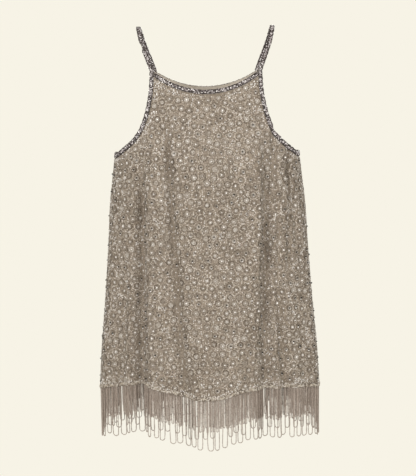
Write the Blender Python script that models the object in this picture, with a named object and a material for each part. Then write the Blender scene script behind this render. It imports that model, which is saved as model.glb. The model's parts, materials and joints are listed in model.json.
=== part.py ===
"""A short sleeveless dress of beaded silk, filled out as if worn, with no wearer inside.

It has an A-line front and back joined at the side seams, a beaded braid round the neck and the
armholes, two braided straps, and a fringe of looped bead strings at the hem.
Metres, +Z up. The front faces -Y and the wearer's left is at +X. The origin lies midway between
the straps where they cross the shoulders, level with their undersides.
"""

import math
from collections import namedtuple

import bmesh
import bpy
import numpy as np
from mathutils import Vector

COLLECTION_NAME = "Beaded silk dress"
HIDDEN_COLLECTION_NAME = "Joined shapes"
SHARP_ANGLE = 40

CLOTH_WALL = 0.002
SEAM_GAP = 0.0003

# Plan shape of the body: 2 would be an ellipse, and more than 2 is squarer.
PLAN_SQUARENESS = 2.3

Section = namedtuple("Section", "height half_width front_depth back_depth")
BODY_SECTIONS = (
    Section(-0.700, 0.2155, 0.118, 0.106),
    Section(-0.620, 0.2105, 0.116, 0.102),
    Section(-0.520, 0.2010, 0.113, 0.097),
    Section(-0.400, 0.1915, 0.112, 0.093),
    Section(-0.325, 0.1865, 0.116, 0.093),
    Section(-0.285, 0.1815, 0.117, 0.094),
    Section(-0.240, 0.1765, 0.111, 0.096),
    Section(-0.190, 0.1750, 0.100, 0.095),
    Section(-0.140, 0.1725, 0.088, 0.090),
    Section(-0.080, 0.1695, 0.077, 0.083),
)

# Rows of a panel from the neck to the underarm. The turn is in degrees from the panel's centre.
ArmholeRow = namedtuple("ArmholeRow", "edge_height edge_turn centre_height")
ARMHOLE_ROWS = (
    ArmholeRow(-0.0918, 31.2, -0.1235),
    ArmholeRow(-0.1100, 31.4, -0.1370),
    ArmholeRow(-0.1300, 32.3, -0.1510),
    ArmholeRow(-0.1530, 34.1, -0.1660),
    ArmholeRow(-0.1740, 36.7, -0.1820),
    ArmholeRow(-0.1934, 40.6, -0.2000),
    ArmholeRow(-0.2139, 48.4, -0.2200),
    ArmholeRow(-0.2300, 60.0, -0.2400),
    ArmholeRow(-0.2425, 75.0, -0.2600),
    ArmholeRow(-0.2455, 90.0, -0.2800),
)
UNDERARM_ROW = len(ARMHOLE_ROWS) - 1
ROWS_BELOW_UNDERARM = 11
PANEL_ROWS = UNDERARM_ROW + ROWS_BELOW_UNDERARM
PANEL_COLUMNS = 36
HEM_HEIGHT = -0.6905
NECK_ROUNDNESS = 1.7
BACK_NECK_RISE = 0.0045

# Turns round the body are in degrees, 0 at the centre front and 90 at the wearer's left seam.
# The hem dips at the seams and at the centres, and rises between them.
HemPoint = namedtuple("HemPoint", "turn rise")
HEM_RISES = (
    HemPoint(-180, 0.003),
    HemPoint(-135, 0.009),
    HemPoint(-90, 0.000),
    HemPoint(-60, 0.018),
    HemPoint(-30, 0.025),
    HemPoint(-15, 0.012),
    HemPoint(0, 0.004),
    HemPoint(15, 0.018),
    HemPoint(30, 0.018),
    HemPoint(60, 0.014),
    HemPoint(90, 0.000),
    HemPoint(135, 0.009),
    HemPoint(180, 0.003),
)

# Large folds. A depth is how far the fold draws the cloth in, and less than zero on a ridge.
Fold = namedtuple(
    "Fold",
    "top_turn bottom_turn top bottom top_spread bottom_spread top_depth bottom_depth",
)
FOLDS = (
    Fold(-41, -34, -0.205, -0.90, 6, 11, 0.012, 0.026),
    Fold(-52, -49, -0.400, -0.90, 6, 9, 0.003, 0.014),
    Fold(-24, -11, -0.150, -0.90, 8, 11, 0.005, 0.009),
    Fold(3, 6, -0.380, -0.90, 19, 22, -0.004, -0.012),
    Fold(17, 12, -0.180, -0.58, 7, 8, 0.003, 0.004),
    Fold(35, 25, -0.190, -0.90, 6, 10, 0.013, 0.022),
    Fold(35, 45, -0.350, -0.90, 5, 9, 0.004, 0.016),
    Fold(56, 60, -0.235, -0.42, 7, 8, 0.007, 0.003),
    Fold(-68, -70, -0.300, -0.90, 9, 10, -0.003, -0.006),
    Fold(70, 68, -0.340, -0.90, 9, 10, -0.003, -0.007),
    Fold(122, 126, -0.280, -0.90, 7, 10, 0.006, 0.015),
    Fold(147, 152, -0.180, -0.90, 7, 11, 0.007, 0.020),
    Fold(168, 164, -0.240, -0.70, 7, 9, 0.003, 0.006),
    Fold(-176, -179, -0.400, -0.90, 14, 16, -0.003, -0.009),
    Fold(-151, -155, -0.190, -0.90, 7, 11, 0.008, 0.018),
    Fold(-133, -127, -0.360, -0.90, 6, 9, 0.004, 0.010),
    Fold(-104, -107, -0.300, -0.90, 9, 10, -0.003, -0.006),
)
FOLD_ONSET = 0.2

BRAID_WIDTH = 0.009
BRAID_PROUD = 0.0010
BRAID_THICKNESS = 0.0035

STRAP_WIDTH = 0.009
STRAP_SEGMENTS = 30
# The strap's underside from just above the front corner, over the shoulder, to the back one.
StrapPoint = namedtuple("StrapPoint", "out ahead height")
STRAP_ROUTE = (
    StrapPoint(0.1050, 0.0630, -0.0660),
    StrapPoint(0.1130, 0.0550, -0.0450),
    StrapPoint(0.1205, 0.0400, -0.0235),
    StrapPoint(0.1250, 0.0200, -0.0060),
    StrapPoint(0.1265, 0.0000, 0.0000),
    StrapPoint(0.1250, -0.0200, -0.0060),
    StrapPoint(0.1205, -0.0410, -0.0235),
    StrapPoint(0.1130, -0.0570, -0.0450),
    StrapPoint(0.1050, -0.0670, -0.0660),
)
# The wearer's right strap turns over once, this share of the way along it.
TWIST_START = 0.15
TWIST_END = 0.33

HEM_TAPE_GAP = 0.0005
HEM_TAPE_HEIGHT = 0.006
HEM_TAPE_PROUD = 0.0008
HEM_TAPE_THICKNESS = 0.0054

LOOPS_IN_A_ROW = 31
LOOP_MARGIN = 0.0065
STRAND_RADIUS = 0.0009
STRAND_SIDES = 3
LOOP_ARC_POINTS = 4
ROOT_DEPTH = 0.002
# A loop is widest this many of its radii above its lowest point.
LOOP_THROAT = 2.6
FringeRow = namedtuple("FringeRow", "length inset root_gap belly offset")
FRINGE_ROWS = (
    FringeRow(0.103, 0.0002, 0.0064, 0.0094, 0.0),
    FringeRow(0.079, 0.0036, 0.0058, 0.0072, 0.5),
)
LOOP_LENGTH_SWING = 0.002
LOOP_SWING_STEP = 2.4

BEADED_SILK = ((0.33, 0.27, 0.21), 0.45, 0.10)
BRAID_STONES = ((0.30, 0.27, 0.25), 0.20, 0.60)
FRINGE_BEADS = ((0.34, 0.28, 0.22), 0.35, 0.20)


def clear_scene():
    for old in list(bpy.data.objects):
        bpy.data.objects.remove(old, do_unlink=True)


def make_material(name, look):
    colour, roughness, metallic = look
    material = bpy.data.materials.new(name)
    material.use_nodes = True
    shader = material.node_tree.nodes["Principled BSDF"]
    shader.inputs["Base Color"].default_value = (*colour, 1.0)
    shader.inputs["Roughness"].default_value = roughness
    shader.inputs["Metallic"].default_value = metallic
    material.diffuse_color = (*colour, 1.0)
    return material


def mix(first, last, share):
    return first + (last - first) * share


def ease(share):
    """Runs from 0 to 1 with a level start and end."""
    share = min(max(share, 0.0), 1.0)
    return share * share * (3 - 2 * share)


def signed_power(value, power):
    return math.copysign(abs(value) ** power, value)


def read_curve(knots, values, place):
    """Reads a smooth curve that passes through all its knots."""
    slopes = np.gradient(values, knots)
    left = int(np.clip(np.searchsorted(knots, place) - 1, 0, len(knots) - 2))
    span = knots[left + 1] - knots[left]
    share = (place - knots[left]) / span
    start, end = values[left], values[left + 1]
    rise = span * slopes[left]
    run_out = span * slopes[left + 1]
    bend = 2 * (start - end) + rise + run_out
    return start + rise * share + (3 * (end - start) - 2 * rise - run_out) * share**2 + bend * share**3


def body_section(height):
    """The half width, front depth and back depth of the body at a height."""
    heights = [row.height for row in BODY_SECTIONS]
    return [
        read_curve(heights, [getattr(row, column) for row in BODY_SECTIONS], height)
        for column in ("half_width", "front_depth", "back_depth")
    ]


def fold_depth(turn, height):
    """How far the large folds draw the cloth in at one place on the body."""
    drawn_in = 0.0
    for fold in FOLDS:
        down = (fold.top - height) / (fold.top - fold.bottom)
        if not 0 < down < 1:
            continue
        centre = mix(fold.top_turn, fold.bottom_turn, down)
        away = (math.degrees(turn) - centre + 180) % 360 - 180
        nearness = abs(away) / mix(fold.top_spread, fold.bottom_spread, down)
        if nearness < 1:
            depth = mix(fold.top_depth, fold.bottom_depth, down)
            onset = ease(down / FOLD_ONSET) * ease((1 - down) / FOLD_ONSET)
            drawn_in += depth * onset * (0.5 + 0.5 * math.cos(math.pi * nearness))
    return drawn_in


def skin_point(turn, height):
    """A point of the cloth's outer face."""
    half_width, front_depth, back_depth = body_section(height)
    depth = front_depth if math.cos(turn) > 0 else back_depth
    side = signed_power(math.sin(turn), 2 / PLAN_SQUARENESS)
    ahead = signed_power(math.cos(turn), 2 / PLAN_SQUARENESS)
    slope = PLAN_SQUARENESS - 1
    outward = Vector(
        (signed_power(side, slope) / half_width, -signed_power(ahead, slope) / depth, 0)
    )
    plain = Vector((half_width * side, -depth * ahead, height))
    return plain - outward.normalized() * fold_depth(turn, height)


def skin_normal(turn, height):
    """The direction straight out of the cloth."""
    step_turn, step_height = 0.01, 0.001
    along = skin_point(turn + step_turn, height) - skin_point(turn - step_turn, height)
    up = skin_point(turn, height + step_height) - skin_point(turn, height - step_height)
    return along.cross(up).normalized()


def hem_rise(turn):
    degrees = (math.degrees(turn) + 180) % 360 - 180
    return read_curve([stop.turn for stop in HEM_RISES], [stop.rise for stop in HEM_RISES], degrees)


class Panel:
    """The front or the back: where each crossing of its rows and columns lies on the body."""

    def __init__(self, is_front):
        self.is_front = is_front
        self.rows = []
        for index, row in enumerate(ARMHOLE_ROWS):
            rise = 0.0 if is_front else BACK_NECK_RISE * (1 - index / UNDERARM_ROW)
            self.rows.append(row._replace(centre_height=row.centre_height + rise))
        underarm = self.rows[-1]
        for step in range(1, ROWS_BELOW_UNDERARM + 1):
            share = step / ROWS_BELOW_UNDERARM
            self.rows.append(
                ArmholeRow(
                    mix(underarm.edge_height, HEM_HEIGHT, share),
                    90.0,
                    mix(underarm.centre_height, HEM_HEIGHT, share),
                )
            )

    def turn_and_height(self, column, row):
        across = 2 * column / PANEL_COLUMNS - 1
        line = self.rows[row]
        turn = math.radians(across * line.edge_turn)
        if not self.is_front:
            turn = math.pi - turn
        share = abs(across) ** NECK_ROUNDNESS
        height = mix(line.centre_height, line.edge_height, share)
        below = max(0, row - UNDERARM_ROW) / ROWS_BELOW_UNDERARM
        return turn, height + hem_rise(turn) * below**2

    def seam_shift(self, column, row):
        """Holds the side seams' two edges apart."""
        at_seam = column in (0, PANEL_COLUMNS) and row >= UNDERARM_ROW
        if not at_seam:
            return Vector((0, 0, 0))
        return Vector((0, -SEAM_GAP / 2 if self.is_front else SEAM_GAP / 2, 0))

    def normal(self, column, row):
        normal = skin_normal(*self.turn_and_height(column, row))
        if row == PANEL_ROWS:
            # The hem is cut level, so that the tape below it fits.
            normal.z = 0
            normal.normalize()
        return normal

    def point(self, column, row, lift=0.0):
        place = skin_point(*self.turn_and_height(column, row))
        return place + self.normal(column, row) * lift + self.seam_shift(column, row)


def thick_sheet(name, columns, rows, place, material):
    """A flat sheet with a thickness, bent so that place(column, row, inner) gives each point."""
    work = bmesh.new()
    bmesh.ops.create_grid(work, x_segments=columns, y_segments=rows, size=0.5)
    bmesh.ops.solidify(work, geom=work.faces[:], thickness=1.0)
    for vertex in work.verts:
        column = round((vertex.co.x + 0.5) * columns)
        row = round((0.5 - vertex.co.y) * rows)
        vertex.co = place(column, row, abs(vertex.co.z) > 0.5)
    return finish_object(name, work, material)


def finish_object(name, work, material):
    bmesh.ops.recalc_face_normals(work, faces=work.faces[:])
    if work.calc_volume(signed=True) < 0:
        bmesh.ops.reverse_faces(work, faces=work.faces[:])
    mesh = bpy.data.meshes.new(name)
    work.to_mesh(mesh)
    work.free()
    mesh.shade_smooth()
    mesh.set_sharp_from_angle(angle=math.radians(SHARP_ANGLE))
    mesh.materials.append(material)
    piece = bpy.data.objects.new(name, mesh)
    bpy.data.collections[COLLECTION_NAME].objects.link(piece)
    return piece


def build_panel(name, panel, material):
    def place(column, row, inner):
        return panel.point(column, row, -CLOTH_WALL if inner else 0.0)

    return thick_sheet(name, PANEL_COLUMNS, PANEL_ROWS, place, material)


def edge_band(name, edge, gap, width, proud, thickness, material):
    """A flat band beside a panel's edge. Each edge entry is a point, its way out and its normal."""

    def place(column, row, inner):
        point, away, normal = edge[row]
        reach = gap if column == 0 else gap + width
        return point + away * reach + normal * (proud - thickness if inner else proud)

    return thick_sheet(name, 1, len(edge) - 1, place, material)


def band_directions(points, normals, outward_hint):
    """The way out of the panel at each edge point, square to the edge and in the cloth."""
    away = []
    for index, normal in enumerate(normals):
        before = points[max(index - 1, 0)]
        after = points[min(index + 1, len(points) - 1)]
        direction = (after - before).cross(normal).normalized()
        if direction.dot(outward_hint(index)) < 0:
            direction.negate()
        away.append(direction)
    return away


def corner_up(panel, column):
    """The direction of the armhole edge at a panel's top corner."""
    return (panel.point(column, 0) - panel.point(column, 1)).normalized()


def neck_edge(panel):
    columns = range(PANEL_COLUMNS + 1)
    points = [panel.point(column, 0) for column in columns]
    normals = [panel.normal(column, 0) for column in columns]
    away = band_directions(points, normals, lambda index: Vector((0, 0, 1)))
    for column in (0, PANEL_COLUMNS):
        # The ends are mitred along the armhole braid.
        upward = corner_up(panel, column)
        away[column] = upward / upward.dot(away[column])
    return list(zip(points, away, normals))


def mitre_height(panel, column):
    """How far above the panel's corner the neck braid ends."""
    return (neck_edge(panel)[column][1] * (SEAM_GAP + BRAID_WIDTH)).length


def armhole_edge(front, back, column):
    """From above the front corner, down under the arm, to above the back corner."""
    side = 1 if column else -1
    points = [front.point(column, 0) + corner_up(front, column) * mitre_height(front, column)]
    normals = [front.normal(column, 0)]
    for row in range(UNDERARM_ROW):
        points.append(front.point(column, row))
        normals.append(front.normal(column, row))
    points.append((front.point(column, UNDERARM_ROW) + back.point(column, UNDERARM_ROW)) / 2)
    normals.append(front.normal(column, UNDERARM_ROW))
    for row in reversed(range(UNDERARM_ROW)):
        points.append(back.point(column, row))
        normals.append(back.normal(column, row))
    points.append(back.point(column, 0) + corner_up(back, column) * mitre_height(back, column))
    normals.append(back.normal(column, 0))
    away = band_directions(points, normals, lambda index: Vector((side, 0, 1)))
    return list(zip(points, away, normals))


def strap_frames(armhole):
    """Points along a strap's underside, with its width and its way out, from front to back."""
    foot_reach = SEAM_GAP + BRAID_WIDTH / 2
    under = BRAID_PROUD - BRAID_THICKNESS
    feet = []
    for (point, away, normal), beside in ((armhole[0], armhole[1]), (armhole[-1], armhole[-2])):
        upward = (point - beside[0]).normalized()
        feet.append(point + away * foot_reach + normal * under + upward * SEAM_GAP)
    side = math.copysign(1, feet[0].x)
    stops = [Vector((side * stop.out, -stop.ahead, stop.height)) for stop in STRAP_ROUTE]
    stops = [feet[0], *stops, feet[1]]
    knots = list(range(len(stops)))
    columns = [[stop[axis] for stop in stops] for axis in range(3)]
    places = [
        Vector([read_curve(knots, values, share * knots[-1]) for values in columns])
        for share in np.linspace(0, 1, STRAP_SEGMENTS + 1)
    ]
    frames = []
    for index, place in enumerate(places):
        ahead = places[min(index + 1, STRAP_SEGMENTS)] - places[max(index - 1, 0)]
        along = ahead.normalized()
        across = (Vector((1, 0, 0)) - along * along.x).normalized()
        frames.append((place, across, across.cross(along)))
    # The feet stand square on the ends of the braid.
    for index in (0, -1):
        away, normal = armhole[index][1:]
        frames[index] = (places[index], away * side, normal)
    return frames


def build_strap(name, armhole, twisted, material):
    frames = strap_frames(armhole)

    def place(column, row, inner):
        point, across, out = frames[row]
        share = row / STRAP_SEGMENTS
        middle = point + out * (BRAID_THICKNESS / 2)
        if twisted:
            turned = math.pi * ease((share - TWIST_START) / (TWIST_END - TWIST_START))
            cosine, sine = math.cos(turned), math.sin(turned)
            across, out = across * cosine + out * sine, out * cosine - across * sine
        sideways = STRAP_WIDTH * (column - 0.5)
        lift = -BRAID_THICKNESS / 2 if inner else BRAID_THICKNESS / 2
        return middle + across * sideways + out * lift

    return thick_sheet(name, 1, STRAP_SEGMENTS, place, material)


def hem_edge(panel):
    columns = range(PANEL_COLUMNS + 1)
    points = [panel.point(column, PANEL_ROWS) for column in columns]
    normals = [panel.normal(column, PANEL_ROWS) for column in columns]
    return [(point, Vector((0, 0, -1)), normal) for point, normal in zip(points, normals)]


def hem_length(edge):
    return sum((after[0] - before[0]).length for before, after in zip(edge, edge[1:]))


def hem_station(edge, distance):
    """The point, the way along and the way out of the hem, this far along it."""
    for before, after in zip(edge, edge[1:]):
        along = after[0] - before[0]
        share = distance / along.length
        if share <= 1:
            break
        distance -= along.length
    point = before[0] + along * share
    along.z = 0
    along.normalize()
    outward = before[2].lerp(after[2], share)
    return point, along, (outward - along * outward.dot(along)).normalized()


def loop_path(edge, distance, row, number):
    """One string that leaves the hem tape, hangs down in a loop and comes back to it."""
    centre, across, outward = hem_station(edge, distance)
    tape_bottom = centre.z - HEM_TAPE_GAP - HEM_TAPE_HEIGHT
    bottom = centre.z - row.length + LOOP_LENGTH_SWING * math.sin(LOOP_SWING_STEP * number)
    hang = centre - outward * row.inset
    hang.z = 0
    radius = row.belly / 2
    stations = [(row.root_gap / 2, tape_bottom + ROOT_DEPTH), (radius, bottom + LOOP_THROAT * radius)]
    for step in range(1, LOOP_ARC_POINTS + 1):
        angle = math.pi * step / (LOOP_ARC_POINTS + 1)
        stations.append((radius * math.cos(angle), bottom + radius * (1 - math.sin(angle))))
    stations.append((-radius, bottom + LOOP_THROAT * radius))
    stations.append((-row.root_gap / 2, tape_bottom + ROOT_DEPTH))
    return [hang + across * aside + Vector((0, 0, height)) for aside, height in stations], outward


def sweep_strand(work, path, outward):
    """A thin string of a few sides round a path that lies square to outward."""
    rings = []
    for index, point in enumerate(path):
        before = path[max(index - 1, 0)]
        after = path[min(index + 1, len(path) - 1)]
        sideways = (after - before).normalized().cross(outward).normalized()
        ring = []
        for step in range(STRAND_SIDES):
            angle = 2 * math.pi * step / STRAND_SIDES
            offset = outward * math.cos(angle) + sideways * math.sin(angle)
            ring.append(work.verts.new(point + offset * STRAND_RADIUS))
        rings.append(ring)
    for ring, following in zip(rings, rings[1:]):
        for step in range(STRAND_SIDES):
            after = (step + 1) % STRAND_SIDES
            work.faces.new((ring[step], ring[after], following[after], following[step]))
    work.faces.new(rings[0])
    work.faces.new(rings[-1])


def build_fringe(name, panel, material):
    """A hem tape with two rows of loops, one behind the other, joined to it."""
    edge = hem_edge(panel)
    tape_sizes = (HEM_TAPE_GAP, HEM_TAPE_HEIGHT, HEM_TAPE_PROUD, HEM_TAPE_THICKNESS)
    tape = edge_band(name, edge, *tape_sizes, material)
    work = bmesh.new()
    last_step = LOOPS_IN_A_ROW - 1 + max(row.offset for row in FRINGE_ROWS)
    spacing = (hem_length(edge) - 2 * LOOP_MARGIN) / last_step
    for row in FRINGE_ROWS:
        for number in range(LOOPS_IN_A_ROW):
            distance = LOOP_MARGIN + spacing * (number + row.offset)
            path, outward = loop_path(edge, distance, row, number)
            sweep_strand(work, path, outward)
    loops = finish_object(name + "_loops", work, material)
    loops.hide_render = True
    loops.display_type = "WIRE"
    bpy.data.collections[COLLECTION_NAME].objects.unlink(loops)
    bpy.data.collections[HIDDEN_COLLECTION_NAME].objects.link(loops)
    union = tape.modifiers.new("Loops", "BOOLEAN")
    union.operation = "UNION"
    union.object = loops
    union.use_self = True
    return tape


def main():
    clear_scene()
    for name in (COLLECTION_NAME, HIDDEN_COLLECTION_NAME):
        bpy.context.scene.collection.children.link(bpy.data.collections.new(name))
    silk = make_material("Beaded silk", BEADED_SILK)
    braid = make_material("Braid of small stones", BRAID_STONES)
    beads = make_material("Fringe beads", FRINGE_BEADS)

    front, back = Panel(True), Panel(False)
    build_panel("front_panel", front, silk)
    build_panel("back_panel", back, silk)
    braid_sizes = (SEAM_GAP, BRAID_WIDTH, BRAID_PROUD, BRAID_THICKNESS)
    edge_band("neck_braid_front", neck_edge(front), *braid_sizes, braid)
    edge_band("neck_braid_back", neck_edge(back), *braid_sizes, braid)
    for side, column in (("left", PANEL_COLUMNS), ("right", 0)):
        armhole = armhole_edge(front, back, column)
        edge_band(f"armhole_braid_{side}", armhole, *braid_sizes, braid)
        build_strap(f"strap_{side}", armhole, side == "right", braid)
    build_fringe("fringe_front", front, beads)
    build_fringe("fringe_back", back, beads)


main()
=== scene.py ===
"""The looks of a short beaded silk dress: silk shells, sequins, beads, stone braid and fringe.

The pieces follow the same body form, folds and edges as the solids, so each sits where its solid is.
Metres, +Z up. The front faces -Y and the wearer's left is at +X.
"""

import json
import math
from collections import namedtuple

import bmesh
import bpy
import numpy as np
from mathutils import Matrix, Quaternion, Vector
from mathutils.kdtree import KDTree

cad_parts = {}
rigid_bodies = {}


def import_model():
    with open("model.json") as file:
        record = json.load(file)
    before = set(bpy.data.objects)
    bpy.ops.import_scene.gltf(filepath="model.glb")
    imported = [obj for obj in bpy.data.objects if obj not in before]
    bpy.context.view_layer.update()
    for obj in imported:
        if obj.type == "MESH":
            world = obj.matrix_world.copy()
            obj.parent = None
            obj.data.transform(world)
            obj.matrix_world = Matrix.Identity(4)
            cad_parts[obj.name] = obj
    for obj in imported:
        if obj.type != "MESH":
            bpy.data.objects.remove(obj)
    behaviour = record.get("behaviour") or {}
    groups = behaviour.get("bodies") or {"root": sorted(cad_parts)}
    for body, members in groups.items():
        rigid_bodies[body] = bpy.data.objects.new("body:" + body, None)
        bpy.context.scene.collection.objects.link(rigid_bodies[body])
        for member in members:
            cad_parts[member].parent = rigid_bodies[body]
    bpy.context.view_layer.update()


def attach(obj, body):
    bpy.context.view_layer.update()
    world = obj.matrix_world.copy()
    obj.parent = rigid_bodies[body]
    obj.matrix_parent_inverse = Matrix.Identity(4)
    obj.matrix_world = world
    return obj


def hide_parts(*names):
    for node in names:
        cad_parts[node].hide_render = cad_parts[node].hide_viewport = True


for startup_object in ("Cube", "Light", "Camera"):
    if startup_object in bpy.data.objects:
        bpy.data.objects.remove(bpy.data.objects[startup_object], do_unlink=True)
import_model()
BODY = "root"
SEED = 7

CAMERA_AIM = Vector((0, 0, -0.4015))
CAMERA_DISTANCE = 2.3
CAMERA_ELEVATION = 8.0
CAMERA_ROLL = 0.7
CAMERA_LENS = 89.66

# The studio: a cream floor and backdrop, and three soft lights.
CREAM = (0.930, 0.896, 0.791)
BACKDROP_STRENGTH = 1.0
BACKDROP_LIGHTING = 0.60
FLOOR_HEIGHT = -1.15
FLOOR_HALF_WIDTH = 60
WARM_WHITE = (1.0, 0.98, 0.95)
SoftLight = namedtuple("SoftLight", "name place size power")
LIGHTS = (
    SoftLight("Key", (-1.5, -2.5, 0.45), (1.4, 1.4), 57),
    SoftLight("Fill", (1.5, -1.6, 0.1), (1.2, 1.6), 23),
    SoftLight("Back", (0.9, 2.4, 0.6), (1.4, 1.4), 34),
)

# The form of the body, as in the solids.
PLAN_SQUARENESS = 2.3
Section = namedtuple("Section", "height half_width front_depth back_depth")
BODY_SECTIONS = (
    Section(-0.700, 0.2155, 0.118, 0.106),
    Section(-0.620, 0.2105, 0.116, 0.102),
    Section(-0.520, 0.2010, 0.113, 0.097),
    Section(-0.400, 0.1915, 0.112, 0.093),
    Section(-0.325, 0.1865, 0.116, 0.093),
    Section(-0.285, 0.1815, 0.117, 0.094),
    Section(-0.240, 0.1765, 0.111, 0.096),
    Section(-0.190, 0.1750, 0.100, 0.095),
    Section(-0.140, 0.1725, 0.088, 0.090),
    Section(-0.080, 0.1695, 0.077, 0.083),
)
ArmholeRow = namedtuple("ArmholeRow", "edge_height edge_turn centre_height")
ARMHOLE_ROWS = (
    ArmholeRow(-0.0918, 31.2, -0.1235),
    ArmholeRow(-0.1100, 31.4, -0.1370),
    ArmholeRow(-0.1300, 32.3, -0.1510),
    ArmholeRow(-0.1530, 34.1, -0.1660),
    ArmholeRow(-0.1740, 36.7, -0.1820),
    ArmholeRow(-0.1934, 40.6, -0.2000),
    ArmholeRow(-0.2139, 48.4, -0.2200),
    ArmholeRow(-0.2300, 60.0, -0.2400),
    ArmholeRow(-0.2425, 75.0, -0.2600),
    ArmholeRow(-0.2455, 90.0, -0.2800),
)
UNDERARM_ROW = len(ARMHOLE_ROWS) - 1
ROWS_BELOW_UNDERARM = 11
PANEL_ROWS = UNDERARM_ROW + ROWS_BELOW_UNDERARM
HEM_HEIGHT = -0.6905
NECK_ROUNDNESS = 1.7
BACK_NECK_RISE = 0.0045
HemPoint = namedtuple("HemPoint", "turn rise")
HEM_RISES = (
    HemPoint(-180, 0.003),
    HemPoint(-135, 0.009),
    HemPoint(-90, 0.000),
    HemPoint(-60, 0.018),
    HemPoint(-30, 0.025),
    HemPoint(-15, 0.012),
    HemPoint(0, 0.004),
    HemPoint(15, 0.018),
    HemPoint(30, 0.018),
    HemPoint(60, 0.014),
    HemPoint(90, 0.000),
    HemPoint(135, 0.009),
    HemPoint(180, 0.003),
)

# Large folds, as in the solids, and after them the small creases that only the silk has.
Fold = namedtuple(
    "Fold",
    "top_turn bottom_turn top bottom top_spread bottom_spread top_depth bottom_depth",
)
FOLDS = (
    Fold(-41, -34, -0.205, -0.90, 6, 11, 0.012, 0.026),
    Fold(-52, -49, -0.400, -0.90, 6, 9, 0.003, 0.014),
    Fold(-24, -11, -0.150, -0.90, 8, 11, 0.005, 0.009),
    Fold(3, 6, -0.380, -0.90, 19, 22, -0.004, -0.012),
    Fold(17, 12, -0.180, -0.58, 7, 8, 0.003, 0.004),
    Fold(35, 25, -0.190, -0.90, 6, 10, 0.013, 0.022),
    Fold(35, 45, -0.350, -0.90, 5, 9, 0.004, 0.016),
    Fold(56, 60, -0.235, -0.42, 7, 8, 0.007, 0.003),
    Fold(-68, -70, -0.300, -0.90, 9, 10, -0.003, -0.006),
    Fold(70, 68, -0.340, -0.90, 9, 10, -0.003, -0.007),
    Fold(122, 126, -0.280, -0.90, 7, 10, 0.006, 0.015),
    Fold(147, 152, -0.180, -0.90, 7, 11, 0.007, 0.020),
    Fold(168, 164, -0.240, -0.70, 7, 9, 0.003, 0.006),
    Fold(-176, -179, -0.400, -0.90, 14, 16, -0.003, -0.009),
    Fold(-151, -155, -0.190, -0.90, 7, 11, 0.008, 0.018),
    Fold(-133, -127, -0.360, -0.90, 6, 9, 0.004, 0.010),
    Fold(-104, -107, -0.300, -0.90, 9, 10, -0.003, -0.006),
)
CREASES = (
    Fold(-41.5, -37, -0.180, -0.90, 4.5, 7, 0.0030, 0.0010),
    Fold(-24.5, -4, -0.095, -0.90, 3.0, 4.5, 0.0090, 0.0064),
    Fold(44.0, 26.0, -0.150, -0.64, 5.0, 4.8, 0.0100, 0.0012),
    Fold(31.0, 27.0, -0.170, -0.50, 3.8, 4.0, -0.0056, -0.0016),
    Fold(28, 29, -0.480, -0.90, 3, 4, 0.0014, 0.0012),
    Fold(43.5, 37.0, -0.170, -0.76, 2.6, 4.2, 0.0062, 0.0040),
    Fold(60, 47, -0.185, -0.48, 3.2, 4, 0.0060, 0.0050),
    Fold(147, 152, -0.160, -0.90, 3.4, 5, 0.0060, 0.0050),
    Fold(-151, -155, -0.170, -0.90, 3.4, 5, 0.0056, 0.0048),
    Fold(-133, -127, -0.340, -0.90, 3, 4, 0.0030, 0.0030),
    Fold(-14, -8, -0.150, -0.330, 4, 5, 0.0016, 0.0010),
    Fold(9, 5, -0.170, -0.300, 5, 6, 0.0012, 0.0008),
    Fold(-58, -62, -0.250, -0.380, 3, 4, 0.0016, 0.0008),
    Fold(-76, -80, -0.265, -0.560, 4, 5, 0.0014, 0.0022),
    Fold(64, 72, -0.262, -0.350, 3, 4, 0.0014, 0.0008),
    Fold(80, 77, -0.270, -0.500, 4, 5, 0.0012, 0.0020),
    Fold(-20, -22, -0.430, -0.760, 3, 5, 0.0010, 0.0022),
    Fold(1, -2, -0.520, -0.740, 4, 5, 0.0010, 0.0020),
    Fold(19, 18, -0.500, -0.720, 3, 4, 0.0008, 0.0016),
    Fold(54, 56, -0.480, -0.760, 4, 5, 0.0010, 0.0020),
    Fold(100, 98, -0.280, -0.620, 4, 6, 0.0014, 0.0022),
    Fold(136, 138, -0.300, -0.520, 4, 5, 0.0014, 0.0010),
    Fold(176, 173, -0.160, -0.360, 4, 5, 0.0014, 0.0010),
    Fold(-168, -171, -0.170, -0.300, 4, 5, 0.0016, 0.0010),
    Fold(-142, -140, -0.420, -0.740, 3, 5, 0.0012, 0.0020),
    Fold(-118, -116, -0.290, -0.700, 4, 5, 0.0014, 0.0022),
    Fold(-96, -94, -0.270, -0.430, 4, 5, 0.0014, 0.0008),
)
FOLD_ONSET = 0.2
TINY = 0.0001

SEAM_GAP = 0.0003
SILK_WALL = 0.0008
SILK_COLUMNS = 140
SILK_ROWS = 92
WEAVE_RADIUS = 0.16
SHARP_BEAD_ANGLE = 50
SHARP_BAND_ANGLE = 40

BRAID_WIDTH = 0.009
BRAID_PROUD = 0.0010
BRAID_THICKNESS = 0.0035
BRAID_ROWS = 120
BACKING_INSET = 0.0009

STRAP_WIDTH = 0.009

StrapPoint = namedtuple("StrapPoint", "out ahead height")
STRAP_ROUTE = (
    StrapPoint(0.1050, 0.0630, -0.0660),
    StrapPoint(0.1130, 0.0550, -0.0450),
    StrapPoint(0.1205, 0.0400, -0.0235),
    StrapPoint(0.1250, 0.0200, -0.0060),
    StrapPoint(0.1265, 0.0000, 0.0000),
    StrapPoint(0.1250, -0.0200, -0.0060),
    StrapPoint(0.1205, -0.0410, -0.0235),
    StrapPoint(0.1130, -0.0570, -0.0450),
    StrapPoint(0.1050, -0.0670, -0.0660),
)
# The wearer's right strap makes a half turn between these shares of its length.
TWIST_START = 0.15
TWIST_END = 0.33

HEM_TAPE_GAP = 0.0005
HEM_TAPE_HEIGHT = 0.006
HEM_TAPE_PROUD = 0.0008
HEM_TAPE_THICKNESS = 0.0054
HEM_TAPE_INSET = 0.0002

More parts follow.
